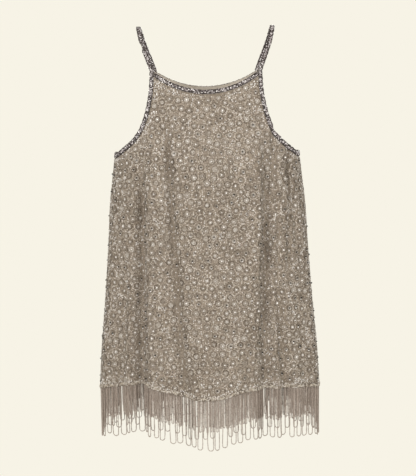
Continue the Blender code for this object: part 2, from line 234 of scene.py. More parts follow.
# Lanes of beads that hide the hem tape: how far above its middle, and how far in from its face.
HemLane = namedtuple("HemLane", "above sunk")
HEM_LANES = (
    HemLane(-0.0010, 0.0002),
    HemLane(0.0010, 0.0002),
    HemLane(0.0030, 0.0004),
    HemLane(0.0048, 0.0008),
)
HEM_BEAD_PITCH = 0.0021
HEM_BEAD_STRAY = 0.0006
CLUSTER_PITCH = 0.0008
CLUSTER_LENGTHS = (0.019, 0.031)
LONG_CLUSTER_SHARE = 0.8
CLUSTER_RAGGEDNESS = 0.7
CLUSTER_LEAST = 0.45
CLUSTER_RISE = 0.0008
CLUSTER_STRAY = 0.0018

# Rosettes: a cup sequin with a stone or a dark bead in it, a dark ring of seed beads and a pale one.
ROSETTE_ACROSS = 0.0180
ROSETTE_ROW_STEP = 0.0158
ROSETTE_WANDER = 0.0080
ROSETTE_LEAST_APART = 0.0160
ROSETTE_SIZES = (0.74, 1.14)
ROSETTE_MARGIN = 0.0060
SPREADING_STEPS = 6
SPREADING_EASE = 3
STEPS_ROUND_BODY = 721
CUP_SIDES = 8
CUP_RADIUS = 0.0050
CUP_FOOT_RADIUS = 0.0012
CUP_DEPTH = 0.0008
CUP_DISH_WIDTH = 0.0032
CUP_DISH_DEPTH = 0.0004
RING_RADII = (0.0077, 0.0088)
RING_BEADS = 15
RING_TONES = (0.32, 0.76)
RING_STRAY = 0.11
RING_TURN_STRAY = 0.6
RING_TONE_SWING = 0.35
CUP_TONES = (0.27, 0.68)
RING_SKIPPED = 0.05
INNER_RING = 0.0062
INNER_RING_BEADS = 11
INNER_BEAD_SIDES = 4
INNER_TONES = (0.0, 0.22)
SEED_BEAD_RADIUS = 0.00135
SEED_BEAD_HEIGHT = 0.0011
SEED_BEAD_SIDES = 5
CENTRE_STONE_RADIUS = 0.0014
CENTRE_STONE_HEIGHT = 0.0013
DARK_BEAD_RADIUS = 0.0015
DARK_BEAD_HEIGHT = 0.0024
CENTRE_LIFT = 0.0003
DARK_CENTRES = 0.25
BRIGHT_CENTRES = 0.92
# Centre stone tones run from mid grey to white: painted sparkle, the light the stones catch painted into
# their colour.
CENTRE_STONE_PAINTED_SPARKLE_TONES = (0.40, 1)
DARK_BEAD_TONES = (0, 0.25)
PAINTED_HIGHLIGHT_TONES = (0.45, 1)

# A small bright stone just below each dark bead, a painted highlight that stands for the glint on the bead,
# at a turn about its middle that is drawn at random.
HIGHLIGHT_REACH = 0.0027
HIGHLIGHT_TURN = -1.4
HIGHLIGHT_TURN_SPREAD = 0.5
HIGHLIGHT_LIFT = 0.0004

# Beads, small sequins and small stones that fill the gaps between the rosettes.
GAP_GRID = 0.0022
GAP_BEYOND_RING = 0.0014
SMALL_SEQUIN_GAP = 0.0026
SMALL_SEQUIN_SHARE = 0.20
SMALL_SEQUIN_SIDES = 7
SMALL_SEQUIN_RADII = (0.0021, 0.0016)
SMALL_SEQUIN_HEIGHT = 0.0006
BEAD_MARGIN = 0.0016
MEAN_RADIUS = 0.155

# Braid stones lie in lanes across the band, and the bright ones give way to dark ones in a slanting twist.
STONE_PITCH = 0.0022
STONE_RADIUS = 0.00115
STONE_HEIGHT = 0.0013
STONE_SIDES = 5
STONE_TOP_SHARE = 0.8
STONE_LEAN = 0.8
STONE_LANES = (-0.32, -0.11, 0.11, 0.32)
EDGE_LANE = 0.2
EDGE_STONE_INSET = 0.0018
STONES_IN_TWIST = 5
DARK_STONES_IN_TWIST = 1.5
TWIST_SLANT = 1.4
STONE_WAVE = 0.0004
BRIGHT_IN_TWIST = 0.10
BRIGHT_AT_EDGE = 0.16
BRIGHT_IN_MIDDLE = 0.72
BRIGHT_STONE_TONES = (0.5, 1)
DARK_STONE_TONES = (0, 0.42)
EDGE_STONE_TONES = (0, 0.6)

# Fringe: rows of bead strings that hang in loops, from the longest in front to the shortest behind.
FringeRow = namedtuple("FringeRow", "length swing inset loops width pinch start stray lean skipped tone")
FRINGE_ROWS = (
    FringeRow(0.101, 0.0035, 0.0006, 39, 0.0102, 0.55, 0.50, 0.11, 0.0012, 0.00, 0.20),
    FringeRow(0.083, 0.0050, 0.0018, 39, 0.0090, 0.55, 0.05, 0.16, 0.0012, 0.05, 0.22),
    FringeRow(0.064, 0.0040, 0.0028, 92, 0.0029, 0.92, 0.50, 0.03, 0.0006, 0.01, 0.36),
    FringeRow(0.059, 0.0030, 0.0038, 92, 0.0029, 0.92, 0.25, 0.03, 0.0006, 0.01, 0.36),
)
FRINGE_BEAD_PITCH = 0.0020
FRINGE_BEAD_RADIUS = 0.00118
FRINGE_BEAD_STRETCH = 1.25
LOOP_END_SHARE = 0.008
LOOP_WIDTHS = (0.82, 1.15)
# Where a loop starts, as a share of the hem tape's height.
LOOP_START = 0.6
# A loop has done this share of its widening at this share of its length.
LOOP_WIDENING = 0.6
LOOP_MIDDLE = 0.45
# The height of the turn at the foot of a loop, in widths of the loop.
LOOP_TURN = 1.3
LOOP_TURN_POINTS = 9
LOOP_TONE_SWING = 0.11
LOOP_BEAD_TONE_SWING = 0.15

# The cut of each panel: its width along the hem, its length and its flat area.
Cut = namedtuple("Cut", "width length area")
CUTS = {"front": Cut(0.602, 0.605, 0.272), "back": Cut(0.571, 0.605, 0.261)}

rng = np.random.default_rng(SEED)


def unit(vectors):
    return vectors / np.linalg.norm(vectors, axis=-1, keepdims=True)


def mix(first, last, share):
    return first + (last - first) * share


def ease(share):
    share = np.clip(share, 0.0, 1.0)
    return share * share * (3 - 2 * share)


def signed_power(values, power):
    return np.sign(values) * np.abs(values) ** power


def lengths_along(points):
    """How far along a line each of its points is."""
    return np.concatenate([[0], np.cumsum(np.linalg.norm(np.diff(points, axis=0), axis=1))])


def read_line(points, lengths, stops):
    """The points of a line at these lengths along it."""
    return np.stack([np.interp(stops, lengths, points[:, axis]) for axis in range(3)], -1)


def column_of(rows, name):
    return np.array([getattr(row, name) for row in rows], float)


def read_curve(knots, values, places):
    """Reads a smooth curve that passes through all its knots, at many places."""
    slopes = np.gradient(values, knots)
    left = np.clip(np.searchsorted(knots, places) - 1, 0, len(knots) - 2)
    span = knots[left + 1] - knots[left]
    share = (places - knots[left]) / span
    start, end = values[left], values[left + 1]
    rise, run_out = span * slopes[left], span * slopes[left + 1]
    bend = 2 * (start - end) + rise + run_out
    return start + rise * share + (3 * (end - start) - 2 * rise - run_out) * share**2 + bend * share**3


def fold_depths(turns, heights):
    """How far the folds and creases draw the cloth in."""
    drawn_in = np.zeros(np.broadcast(turns, heights).shape)
    for fold in FOLDS + CREASES:
        down = (fold.top - heights) / (fold.top - fold.bottom)
        centre = mix(fold.top_turn, fold.bottom_turn, down)
        away = (np.degrees(turns) - centre + 180) % 360 - 180
        spread = np.maximum(mix(fold.top_spread, fold.bottom_spread, down), 1)
        nearness = np.minimum(np.abs(away) / spread, 1)
        depth = mix(fold.top_depth, fold.bottom_depth, down)
        onset = ease(down / FOLD_ONSET) * ease((1 - down) / FOLD_ONSET)
        drawn_in = drawn_in + depth * onset * (0.5 + 0.5 * np.cos(math.pi * nearness))
    return drawn_in


def skin_points(turns, heights):
    """Points of the cloth's outer face."""
    knots = column_of(BODY_SECTIONS, "height")
    half_width, front_depth, back_depth = (
        read_curve(knots, column_of(BODY_SECTIONS, name), heights)
        for name in ("half_width", "front_depth", "back_depth")
    )
    depth = np.where(np.cos(turns) > 0, front_depth, back_depth)
    side = signed_power(np.sin(turns), 2 / PLAN_SQUARENESS)
    ahead = signed_power(np.cos(turns), 2 / PLAN_SQUARENESS)
    slope = PLAN_SQUARENESS - 1
    level = np.zeros(np.shape(side))
    outward = unit(
        np.stack([signed_power(side, slope) / half_width, -signed_power(ahead, slope) / depth, level], -1)
    )
    plain = np.stack([half_width * side, -depth * ahead, heights + level], -1)
    return plain - outward * fold_depths(turns, heights)[..., None]


def skin_slopes(turns, heights):
    """How far a point moves for each unit of turn and of height."""
    step_turn, step_height = 0.01, 0.001
    along = skin_points(turns + step_turn, heights) - skin_points(turns - step_turn, heights)
    up = skin_points(turns, heights + step_height) - skin_points(turns, heights - step_height)
    return along / (2 * step_turn), up / (2 * step_height)


def skin_normals(turns, heights):
    along, up = skin_slopes(turns, heights)
    return unit(np.cross(along, up))


def beside(turns, heights, aside, above):
    """The places this far to the side of other places, and above them, along the cloth."""
    along, up = skin_slopes(turns, heights)
    return (
        turns + aside / np.linalg.norm(along, axis=-1),
        heights + above / np.linalg.norm(up, axis=-1),
    )


def hem_rise(turns):
    degrees = (np.degrees(turns) + 180) % 360 - 180
    return read_curve(column_of(HEM_RISES, "turn"), column_of(HEM_RISES, "rise"), degrees)


def panel_lines(is_front):
    """The edge height, edge turn and centre height at each row of a panel."""
    lines = []
    for index, row in enumerate(ARMHOLE_ROWS):
        rise = 0.0 if is_front else BACK_NECK_RISE * (1 - index / UNDERARM_ROW)
        lines.append((row.edge_height, row.edge_turn, row.centre_height + rise))
    underarm = lines[-1]
    for step in range(1, ROWS_BELOW_UNDERARM + 1):
        share = step / ROWS_BELOW_UNDERARM
        lines.append((mix(underarm[0], HEM_HEIGHT, share), 90.0, mix(underarm[2], HEM_HEIGHT, share)))
    return np.array(lines).T


def panel_places(is_front, across, rows):
    """Turns and heights on a panel, from shares across it, -1 to 1, and its rows."""
    knots = np.arange(PANEL_ROWS + 1.0)
    edge_height, edge_turn, centre_height = (
        read_curve(knots, values, rows) for values in panel_lines(is_front)
    )
    turns = np.radians(across * np.minimum(edge_turn, 90))
    if not is_front:
        turns = np.pi - turns
    heights = mix(centre_height, edge_height, np.abs(across) ** NECK_ROUNDNESS)
    below = np.maximum(0, rows - UNDERARM_ROW) / ROWS_BELOW_UNDERARM
    return turns, heights + hem_rise(turns) * below**2


def on_cloth(turns, heights, margin):
    """Whether places are this far in from the neck, the armholes and the hem."""
    aside = np.abs((np.degrees(turns) + 180) % 360 - 180)
    is_front = aside < 90
    aside = np.where(is_front, aside, 180 - aside)
    edge_turn = np.interp(
        -(heights + margin),
        -column_of(ARMHOLE_ROWS, "edge_height"),
        column_of(ARMHOLE_ROWS, "edge_turn"),
    )
    under_arm = heights + margin < ARMHOLE_ROWS[-1].edge_height
    reach = np.degrees(margin / MEAN_RADIUS)
    in_armholes = under_arm | (aside + reach < edge_turn)
    top = ARMHOLE_ROWS[0]
    share = np.minimum(aside / top.edge_turn, 1) ** NECK_ROUNDNESS
    centre_height = np.where(is_front, top.centre_height, top.centre_height + BACK_NECK_RISE)
    below_neck = heights + margin < mix(centre_height, top.edge_height, share)
    above_hem = heights - margin > HEM_HEIGHT + hem_rise(turns)
    return in_armholes & below_neck & above_hem


def keep_piece(name, mesh, materials):
    piece = bpy.data.objects.new(name, mesh)
    bpy.context.scene.collection.objects.link(piece)
    for material in materials:
        mesh.materials.append(material)
    return piece


def mesh_of(name, work):
    mesh = bpy.data.meshes.new(name)
    work.to_mesh(mesh)
    work.free()
    return mesh


def fit_on_body(piece, node=None):
    """Puts the piece on the gown's body, in place of a solid where one is named."""
    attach(piece, BODY)
    if node:
        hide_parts(node)
    return piece


def bake_modifiers(piece):
    """Makes the piece's mesh what its modifiers give."""
    graph = bpy.context.evaluated_depsgraph_get()
    old = piece.data
    piece.data = bpy.data.meshes.new_from_object(
        piece.evaluated_get(graph), preserve_all_data_layers=True, depsgraph=graph
    )
    piece.modifiers.clear()
    bpy.data.meshes.remove(old)
    piece.data.name = piece.name
    return piece


def new_nodes(tree):
    tree.nodes.clear()

    def add(kind, inputs=None, **settings):
        node = tree.nodes.new(kind)
        for name, value in settings.items():
            setattr(node, name, value)
        for name, value in (inputs or {}).items():
            if isinstance(value, bpy.types.NodeSocket):
                tree.links.new(value, node.inputs[name])
            else:
                node.inputs[name].default_value = value
        return node

    return add


def scatter_group():
    """Puts a template at each point, facing the point's own way, and joins all the copies."""
    tree = bpy.data.node_groups.new("Scatter", "GeometryNodeTree")
    tree.interface.new_socket("Geometry", in_out="INPUT", socket_type="NodeSocketGeometry")
    tree.interface.new_socket("Template", in_out="INPUT", socket_type="NodeSocketObject")
    tree.interface.new_socket("Geometry", in_out="OUTPUT", socket_type="NodeSocketGeometry")
    add = new_nodes(tree)
    entry = add("NodeGroupInput")
    template = add("GeometryNodeObjectInfo", {"Object": entry.outputs["Template"]})

    def stored(name, kind):
        node = add("GeometryNodeInputNamedAttribute", data_type=kind)
        node.inputs["Name"].default_value = name
        return node.outputs["Attribute"]

    facing = add("FunctionNodeAlignRotationToVector", {"Vector": stored("facing", "FLOAT_VECTOR")}, axis="Z")
    spin = add("FunctionNodeAxisAngleToRotation", {"Axis": (0, 0, 1), "Angle": stored("spin", "FLOAT")})
    turned = add(
        "FunctionNodeRotateRotation",
        {"Rotation": facing.outputs[0], "Rotate By": spin.outputs[0]},
        rotation_space="LOCAL",
    )
    copies = add(
        "GeometryNodeInstanceOnPoints",
        {
            "Points": entry.outputs["Geometry"],
            "Instance": template.outputs["Geometry"],
            "Rotation": turned.outputs[0],
            "Scale": stored("size", "FLOAT"),
        },
    )
    joined = add("GeometryNodeRealizeInstances", {"Geometry": copies.outputs[0]})
    add("NodeGroupOutput", {"Geometry": joined.outputs[0]})
    return tree


Spots = namedtuple("Spots", "places facing spin size shade")


def make_spots(places, facing, tilt=0.0, size=1.0, size_swing=0.0, shade=None):
    """Spots for copies, each tilted and sized a little at random."""
    count = len(places)
    facing = unit(facing + rng.normal(0, 1, (count, 3)) * tilt)
    sizes = size * (1 + size_swing * rng.uniform(-1, 1, count))
    shade = rng.uniform(0, 1, count) if shade is None else shade
    return Spots(places, facing, rng.uniform(0, 2 * np.pi, count), sizes, shade)


def scatter(name, template, spots, material):
    """One mesh with a copy of the template at each spot."""
    mesh = bpy.data.meshes.new(name)
    mesh.vertices.add(len(spots.places))
    mesh.vertices.foreach_set("co", spots.places.astype(np.float32).ravel())
    facing = mesh.attributes.new("facing", "FLOAT_VECTOR", "POINT")
    facing.data.foreach_set("vector", spots.facing.astype(np.float32).ravel())
    for key in ("spin", "size", "shade"):
        stored = mesh.attributes.new(key, "FLOAT", "POINT")
        stored.data.foreach_set("value", getattr(spots, key).astype(np.float32))
    piece = keep_piece(name, mesh, [])
    copies = piece.modifiers.new("Copies", "NODES")
    copies.node_group = SCATTER
    sockets = {item.name: item.identifier for item in SCATTER.interface.items_tree if item.in_out == "INPUT"}
    copies[sockets["Template"]] = template
    bake_modifiers(piece)
    for key in ("facing", "spin", "size"):
        left_over = piece.data.attributes.get(key)
        if left_over:
            piece.data.attributes.remove(left_over)
    piece.data.materials.clear()
    piece.data.materials.append(material)
    return piece


def template_object(name, work, smooth):
    for face in work.faces:
        face.smooth = smooth
    bmesh.ops.recalc_face_normals(work, faces=work.faces[:])
    mesh = mesh_of(name, work)
    if smooth:
        mesh.set_sharp_from_angle(angle=math.radians(SHARP_BEAD_ANGLE))
    piece = keep_piece(name, mesh, [])
    piece.hide_render = True
    return piece


def cone_on_cloth(sides, below, above, height, closed=True):
    work = bmesh.new()
    bmesh.ops.create_cone(
        work, cap_ends=closed, segments=sides, radius1=below, radius2=above, depth=height
    )
    bmesh.ops.translate(work, verts=work.verts[:], vec=(0, 0, height / 2))
    return work


def cup_sequin():
    """A dished disc with its rim up, on a small foot that is open below."""
    work = cone_on_cloth(CUP_SIDES, CUP_FOOT_RADIUS, CUP_RADIUS, CUP_DEPTH)
    caps = [face for face in work.faces if len(face.verts) == CUP_SIDES]
    foot, top = sorted(caps, key=lambda face: face.calc_center_median().z)
    bmesh.ops.inset_region(work, faces=[top], thickness=CUP_DISH_WIDTH, depth=-CUP_DISH_DEPTH)
    bmesh.ops.delete(work, geom=[foot], context="FACES_ONLY")
    return template_object("cup_template", work, True)


def small_sequin():
    work = cone_on_cloth(SMALL_SEQUIN_SIDES, *SMALL_SEQUIN_RADII, SMALL_SEQUIN_HEIGHT)
    return template_object("small_sequin_template", work, False)


def cut_stone(name, radius, height):
    """A stone with a flat top and slanted facets."""
    work = cone_on_cloth(STONE_SIDES, radius, radius * STONE_TOP_SHARE, height)
    return template_object(name, work, False)


def sewn_bead(name, sides=SEED_BEAD_SIDES):
    """The upper half of a bead that is sewn down on the cloth."""
    work = cone_on_cloth(sides, SEED_BEAD_RADIUS, 0, SEED_BEAD_HEIGHT, closed=False)
    return template_object(name, work, True)


def string_bead(name):
    work = bmesh.new()
    bmesh.ops.create_uvsphere(work, u_segments=4, v_segments=2, radius=FRINGE_BEAD_RADIUS)
    bmesh.ops.scale(work, vec=(1, 1, FRINGE_BEAD_STRETCH), verts=work.verts[:])
    return template_object(name, work, True)


def new_material(name):
    material = bpy.data.materials.new(name)
    material.use_nodes = True
    return material, new_nodes(material.node_tree)


def finish_material(add, inputs):
    shader = add("ShaderNodeBsdfPrincipled", inputs)
    add("ShaderNodeOutputMaterial", {"Surface": shader.outputs[0]})


def combine(add, operation, first, second):
    return add("ShaderNodeMath", {0: first, 1: second}, operation=operation).outputs[0]


def noise(add, scale, detail):
    place = add("ShaderNodeTexCoord").outputs["Object"]
    return add("ShaderNodeTexNoise", {"Vector": place, "Scale": scale, "Detail": detail}).outputs["Fac"]


def ramp(add, factor, stops):
    """Colours read at a factor, from stops that are each a place and then a colour."""
    node = add("ShaderNodeValToRGB", {"Fac": factor})
    elements = node.color_ramp.elements
    while len(elements) < len(stops):
        elements.new(0.5)
    for element, (place, *colour) in zip(elements, stops):
        element.position = place
        element.color = (*colour, 1)
    return node.outputs["Color"]


def silk_material(name, deep, light, weave_scale):
    """Silk with a fine weave that follows the cloth, and a slow change of colour."""
    material, add = new_material(name)
    uv = add("ShaderNodeUVMap", uv_map="Weave").outputs[0]
    patches_and_slubs = combine(add, "ADD", noise(add, 22.0, 5.0), noise(add, 420.0, 3.0))
    half = combine(add, "MULTIPLY", patches_and_slubs, 0.5)
    colour = ramp(add, half, ((0.35, *deep), (0.65, *light)))
    threads = [
        add(
            "ShaderNodeTexWave",
            {"Vector": uv, "Scale": weave_scale, "Distortion": 1.2, "Detail": 1.0},
            bands_direction=direction,
        ).outputs["Fac"]
        for direction in ("X", "Y")
    ]
    woven = combine(add, "MULTIPLY", *threads)
    bump = add("ShaderNodeBump", {"Height": woven, "Strength": 0.35, "Distance": 0.0003}).outputs[0]
    sheen = {"Sheen Weight": 0.35, "Sheen Roughness": 0.4}
    finish_material(add, {"Base Color": colour, "Roughness": 0.62, "Normal": bump, **sheen})
    return material


def bead_material(name, roughness, clouding, *stops):
    """A finish that takes its colour from each bead's own shade, with a fine clouding."""
    material, add = new_material(name)
    shade = add("ShaderNodeAttribute", attribute_name="shade").outputs["Fac"]
    wander = combine(add, "MULTIPLY", noise(add, 520.0, 2.0), clouding)
    factor = combine(add, "SUBTRACT", combine(add, "ADD", shade, wander), clouding / 2)
    finish_material(add, {"Base Color": ramp(add, factor, stops), "Roughness": roughness})
    return material


def build_materials():
    return {
        "silk": silk_material("Taupe silk", (0.165, 0.129, 0.095), (0.285, 0.233, 0.181), 900.0),
        "reverse": silk_material("Reverse of the silk", (0.335, 0.292, 0.243), (0.455, 0.408, 0.350), 900.0),
        "tape": silk_material("Hem tape", (0.16, 0.125, 0.095), (0.28, 0.235, 0.19), 700.0),
        "backing": silk_material("Braid backing", (0.14, 0.12, 0.11), (0.26, 0.23, 0.21), 700.0),
        "cups": bead_material(
            "Cup sequins", 0.62, 2.2,
            (0.0, 0.130, 0.100, 0.078),
            (0.35, 0.225, 0.190, 0.152),
            (0.65, 0.330, 0.290, 0.255),
            (1.0, 0.470, 0.442, 0.405),
        ),
        # Stone finish: its pale to white end is painted sparkle, light that the stones reflect painted into
        # their colour.
        "stones": bead_material(
            "Centre stones", 0.10, 0.1,
            (0.0, 0.020, 0.018, 0.016),
            (0.32, 0.060, 0.052, 0.045),
            (0.40, 0.55, 0.52, 0.50),
            (1.0, 0.95, 0.93, 0.92),
        ),
        "seeds": bead_material(
            "Seed beads", 0.35, 0.7,
            (0.0, 0.080, 0.058, 0.043),
            (0.25, 0.175, 0.143, 0.108),
            (0.5, 0.320, 0.267, 0.227),
            (0.75, 0.430, 0.387, 0.332),
            (1.0, 0.600, 0.552, 0.520),
        ),
        "braid": bead_material(
            "Braid stones", 0.12, 0.2,
            (0.0, 0.036, 0.028, 0.028),
            (0.40, 0.085, 0.069, 0.067),
            (0.55, 0.280, 0.240, 0.244),
            (0.80, 0.570, 0.522, 0.535),
            (1.0, 0.980, 0.960, 0.960),
        ),
        "fringe": bead_material(
            "Fringe beads", 0.32, 0.5,
            (0.0, 0.290, 0.235, 0.198),
            (0.5, 0.480, 0.410, 0.362),
            (1.0, 0.640, 0.580, 0.540),
        ),
        "pale": bead_material(
            "Hem beads", 0.35, 0.5,
            (0.0, 0.330, 0.275, 0.220),
            (0.5, 0.480, 0.425, 0.355),
            (1.0, 0.640, 0.590, 0.515),
        ),
    }


def build_silk(name, is_front, materials):
    """A thin shell on the solid's outer face, with its reverse in a lighter finish."""
    work = bmesh.new()
    bmesh.ops.create_grid(work, x_segments=SILK_COLUMNS, y_segments=SILK_ROWS, size=0.5, calc_uvs=True)
    work.verts.ensure_lookup_table()
    flat = np.array([vertex.co for vertex in work.verts])
    turns, heights = panel_places(is_front, 2 * flat[:, 0], (0.5 - flat[:, 1]) * PANEL_ROWS)
    at_seam = (np.abs(flat[:, 0]) > 0.5 - TINY) & (heights < ARMHOLE_ROWS[-1].edge_height + TINY)
    points = skin_points(turns, heights)
    points[:, 1] += at_seam * SEAM_GAP / 2 * (-1 if is_front else 1)
    for vertex, point in zip(work.verts, points):
        vertex.co = point
    uv = work.loops.layers.uv.new("Weave")
    for face in work.faces:
        face.smooth = True
        for loop in face.loops:
            spot = loop.vert.co
            loop[uv].uv = (math.atan2(spot.x, -spot.y) * WEAVE_RADIUS, spot.z)
    # The grid faces the way that its rows and columns run, which is outwards on both panels only if turned.
    work.faces.ensure_lookup_table()
    middle = work.faces[len(work.faces) // 2]
    middle.normal_update()
    outward = Vector((middle.calc_center_median().x, middle.calc_center_median().y, 0))
    if middle.normal.dot(outward) < 0:
        bmesh.ops.reverse_faces(work, faces=work.faces[:])
    piece = keep_piece(name, mesh_of(name, work), [materials["silk"], materials["reverse"]])
    wall = piece.modifiers.new("Wall", "SOLIDIFY")
    wall.thickness = SILK_WALL
    wall.offset = -1
    wall.material_offset = 1
    wall.material_offset_rim = 0
    return bake_modifiers(piece)


Rosettes = namedtuple("Rosettes", "turns heights sizes rings")


def tree_of(points):
    tree = KDTree(len(points))
    for index, point in enumerate(points):
        tree.insert(point, index)
    tree.balance()
    return tree


def spread_apart(turns, heights):
    """Moves each rosette away from those that are too near it."""
    centres = skin_points(turns, heights)
    along, up = (unit(slopes) for slopes in skin_slopes(turns, heights))
    tree = tree_of(centres)
    pushes = np.zeros(centres.shape)
    for index, centre in enumerate(centres):
        for _, other, distance in tree.find_range(centre, ROSETTE_LEAST_APART):
            if other != index:
                away = (centre - centres[other]) / max(distance, TINY)
                pushes[index] += away * (ROSETTE_LEAST_APART - distance) / SPREADING_EASE
    aside, above = np.sum(pushes * along, axis=1), np.sum(pushes * up, axis=1)
    return beside(turns, heights, aside, above)


def place_rosettes():
    """Rows of rosettes all round the body, evenly spaced along the cloth and then moved a little."""
    turns, heights = [], []
    lowest = HEM_HEIGHT + ROSETTE_MARGIN
    for height in np.arange(lowest, ARMHOLE_ROWS[0].edge_height, ROSETTE_ROW_STEP):
        round_it = np.linspace(-np.pi, np.pi, STEPS_ROUND_BODY)
        lengths = lengths_along(skin_points(round_it, np.full(round_it.shape, height)))
        count = round(lengths[-1] / ROSETTE_ACROSS)
        stops = (np.arange(count) + rng.uniform()) / count * lengths[-1]
        turns.append(np.interp(stops, lengths, round_it))
        heights.append(np.full(count, height))
    turns, heights = np.concatenate(turns), np.concatenate(heights)
    wander = rng.uniform(-ROSETTE_WANDER, ROSETTE_WANDER, (2, len(turns)))
    turns, heights = beside(turns, heights, *wander)
    for _ in range(SPREADING_STEPS):
        turns, heights = spread_apart(turns, heights)
    kept = on_cloth(turns, heights, ROSETTE_MARGIN)
    turns, heights = turns[kept], heights[kept]
    centres = skin_points(turns, heights)
    tree = tree_of(centres)
    nearest = np.array([tree.find_n(centre, 2)[1][2] for centre in centres])
    sizes = rng.uniform(*ROSETTE_SIZES, len(turns))
    return Rosettes(turns, heights, sizes, np.clip(nearest / 2 - SEED_BEAD_RADIUS / 2, *RING_RADII))


def spots_on_skin(turns, heights, lift, **looks):
    normals = skin_normals(turns, heights)
    return make_spots(skin_points(turns, heights) + normals * lift, normals, **looks)


def place_gap_beads(rosettes):
    """Places between the rosettes, found on a fine grid."""
    tree = tree_of(skin_points(rosettes.turns, rosettes.heights))
    turns, heights = np.meshgrid(
        np.arange(-np.pi, np.pi, GAP_GRID / MEAN_RADIUS),
        np.arange(HEM_HEIGHT, ARMHOLE_ROWS[0].edge_height, GAP_GRID),
    )
    turns, heights = turns.ravel(), heights.ravel()
    wander = rng.uniform(-GAP_GRID / 3, GAP_GRID / 3, (2, len(turns)))
    turns, heights = beside(turns, heights, *wander)
    kept = on_cloth(turns, heights, BEAD_MARGIN)
    turns, heights = turns[kept], heights[kept]
    room = []
    for point in skin_points(turns, heights):
        _, index, distance = tree.find(point)
        room.append(distance - rosettes.rings[index])
    return turns, heights, np.array(room)


def scatter_both(name, template, turns, heights, lift, material, **looks):
    """Copies on the front and on the back, each as one piece."""
    made = {}
    on_front = np.cos(turns) > 0
    for side, chosen in (("front", on_front), ("back", ~on_front)):
        chosen_looks = {
            key: value[chosen] if isinstance(value, np.ndarray) else value for key, value in looks.items()
        }
        spots = spots_on_skin(turns[chosen], heights[chosen], lift, **chosen_looks)
        made[side] = fit_on_body(scatter(f"{side}_{name}", template, spots, material))
    return made


def ring_of_beads(name, rosettes, reach, number, bead, tones, materials):
    """A ring of beads round each rosette's middle, a little out of true."""
    count = len(rosettes.turns)
    angles = np.arange(number) * 2 * np.pi / number + rng.uniform(0, 1, (count, 1)) * 2 * np.pi
    angles = angles + rng.uniform(-RING_TURN_STRAY, RING_TURN_STRAY, angles.shape) / number
    rim = reach[:, None] * (1 + rng.uniform(-RING_STRAY, RING_STRAY, angles.shape))
    turns, heights = beside(
        np.repeat(rosettes.turns, number),
        np.repeat(rosettes.heights, number),
        (rim * np.cos(angles)).ravel(),
        (rim * np.sin(angles)).ravel(),
    )
    tone = np.repeat(rng.uniform(*tones, count), number)
    shade = np.clip(tone + rng.uniform(-RING_TONE_SWING, RING_TONE_SWING, len(tone)), 0, 1)
    kept = on_cloth(turns, heights, BEAD_MARGIN) & (rng.uniform(size=len(turns)) > RING_SKIPPED)
    return scatter_both(
        name, bead, turns[kept], heights[kept], 0.0, materials["seeds"],
        tilt=0.15, size_swing=0.2, shade=shade[kept],
    )


def build_beading(materials):
    """The rosettes and what lies between them, each kind as a front and a back piece."""
    rosettes = place_rosettes()
    turns, heights, sizes, rings = rosettes
    count = len(turns)
    kinds = []

    def sew(name, template, turns, heights, lift, finish, **looks):
        kinds.append(scatter_both(name, template, turns, heights, lift, materials[finish], **looks))

    sew(
        "cup_sequins", cup_sequin(), turns, heights, 0.0, "cups",
        tilt=0.06, size=sizes, shade=rng.uniform(*CUP_TONES, count),
    )
    dark = rng.uniform(size=count) < DARK_CENTRES
    bright = ~dark & (rng.uniform(size=count) < BRIGHT_CENTRES)
    crystal = cut_stone("crystal_template", CENTRE_STONE_RADIUS, CENTRE_STONE_HEIGHT)
    sew(
        "centre_stones", crystal, turns[bright], heights[bright], CENTRE_LIFT, "stones",
        tilt=0.10, size_swing=0.3, shade=rng.uniform(*CENTRE_STONE_PAINTED_SPARKLE_TONES, bright.sum()),
    )
    dark_bead = cut_stone("dark_bead_template", DARK_BEAD_RADIUS, DARK_BEAD_HEIGHT)
    sew(
        "dark_beads", dark_bead, turns[dark], heights[dark], CENTRE_LIFT, "stones",
        tilt=0.10, size_swing=0.15, shade=rng.uniform(*DARK_BEAD_TONES, dark.sum()),
    )
    # Painted highlights: a bright stone set just below each dark bead, in place of the glint of light on it.
    highlight_way = rng.normal(HIGHLIGHT_TURN, HIGHLIGHT_TURN_SPREAD, dark.sum())
    glints = beside(
        turns[dark], heights[dark], HIGHLIGHT_REACH * np.cos(highlight_way), HIGHLIGHT_REACH * np.sin(highlight_way)
    )
    sew(
        "glints", crystal, *glints, HIGHLIGHT_LIFT, "stones",
        tilt=0.1, size=0.85, size_swing=0.2, shade=rng.uniform(*PAINTED_HIGHLIGHT_TONES, dark.sum()),
    )
    bead = sewn_bead("seed_bead_template")
    kinds.append(ring_of_beads("ring_beads", rosettes, rings, RING_BEADS, bead, RING_TONES, materials))
    square_bead = sewn_bead("inner_bead_template", INNER_BEAD_SIDES)
    inner = INNER_RING * sizes
    kinds.append(
        ring_of_beads("inner_beads", rosettes, inner, INNER_RING_BEADS, square_bead, INNER_TONES, materials)
    )
    gap_turns, gap_heights, room = place_gap_beads(rosettes)
    wide = (room > SMALL_SEQUIN_GAP) & (rng.uniform(size=len(room)) < SMALL_SEQUIN_SHARE)
    narrow = (room > GAP_BEYOND_RING) & ~wide
    sew(
        "small_sequins", small_sequin(), gap_turns[wide], gap_heights[wide], 0.0, "cups",
        tilt=0.15, size_swing=0.2,
    )
    sew(
        "scattered_beads", bead, gap_turns[narrow], gap_heights[narrow], 0.0, "seeds",
        tilt=0.15, size_swing=0.3, shade=rng.uniform(size=narrow.sum()),
    )
    # Small stones in the wide gaps, pale to white: painted sparkle.
    sew(
        "small_stones", crystal, gap_turns[wide], gap_heights[wide], SMALL_SEQUIN_HEIGHT, "stones",
        tilt=0.1, size=0.7, size_swing=0.2, shade=rng.uniform(*PAINTED_HIGHLIGHT_TONES, wide.sum()),
    )
    return kinds


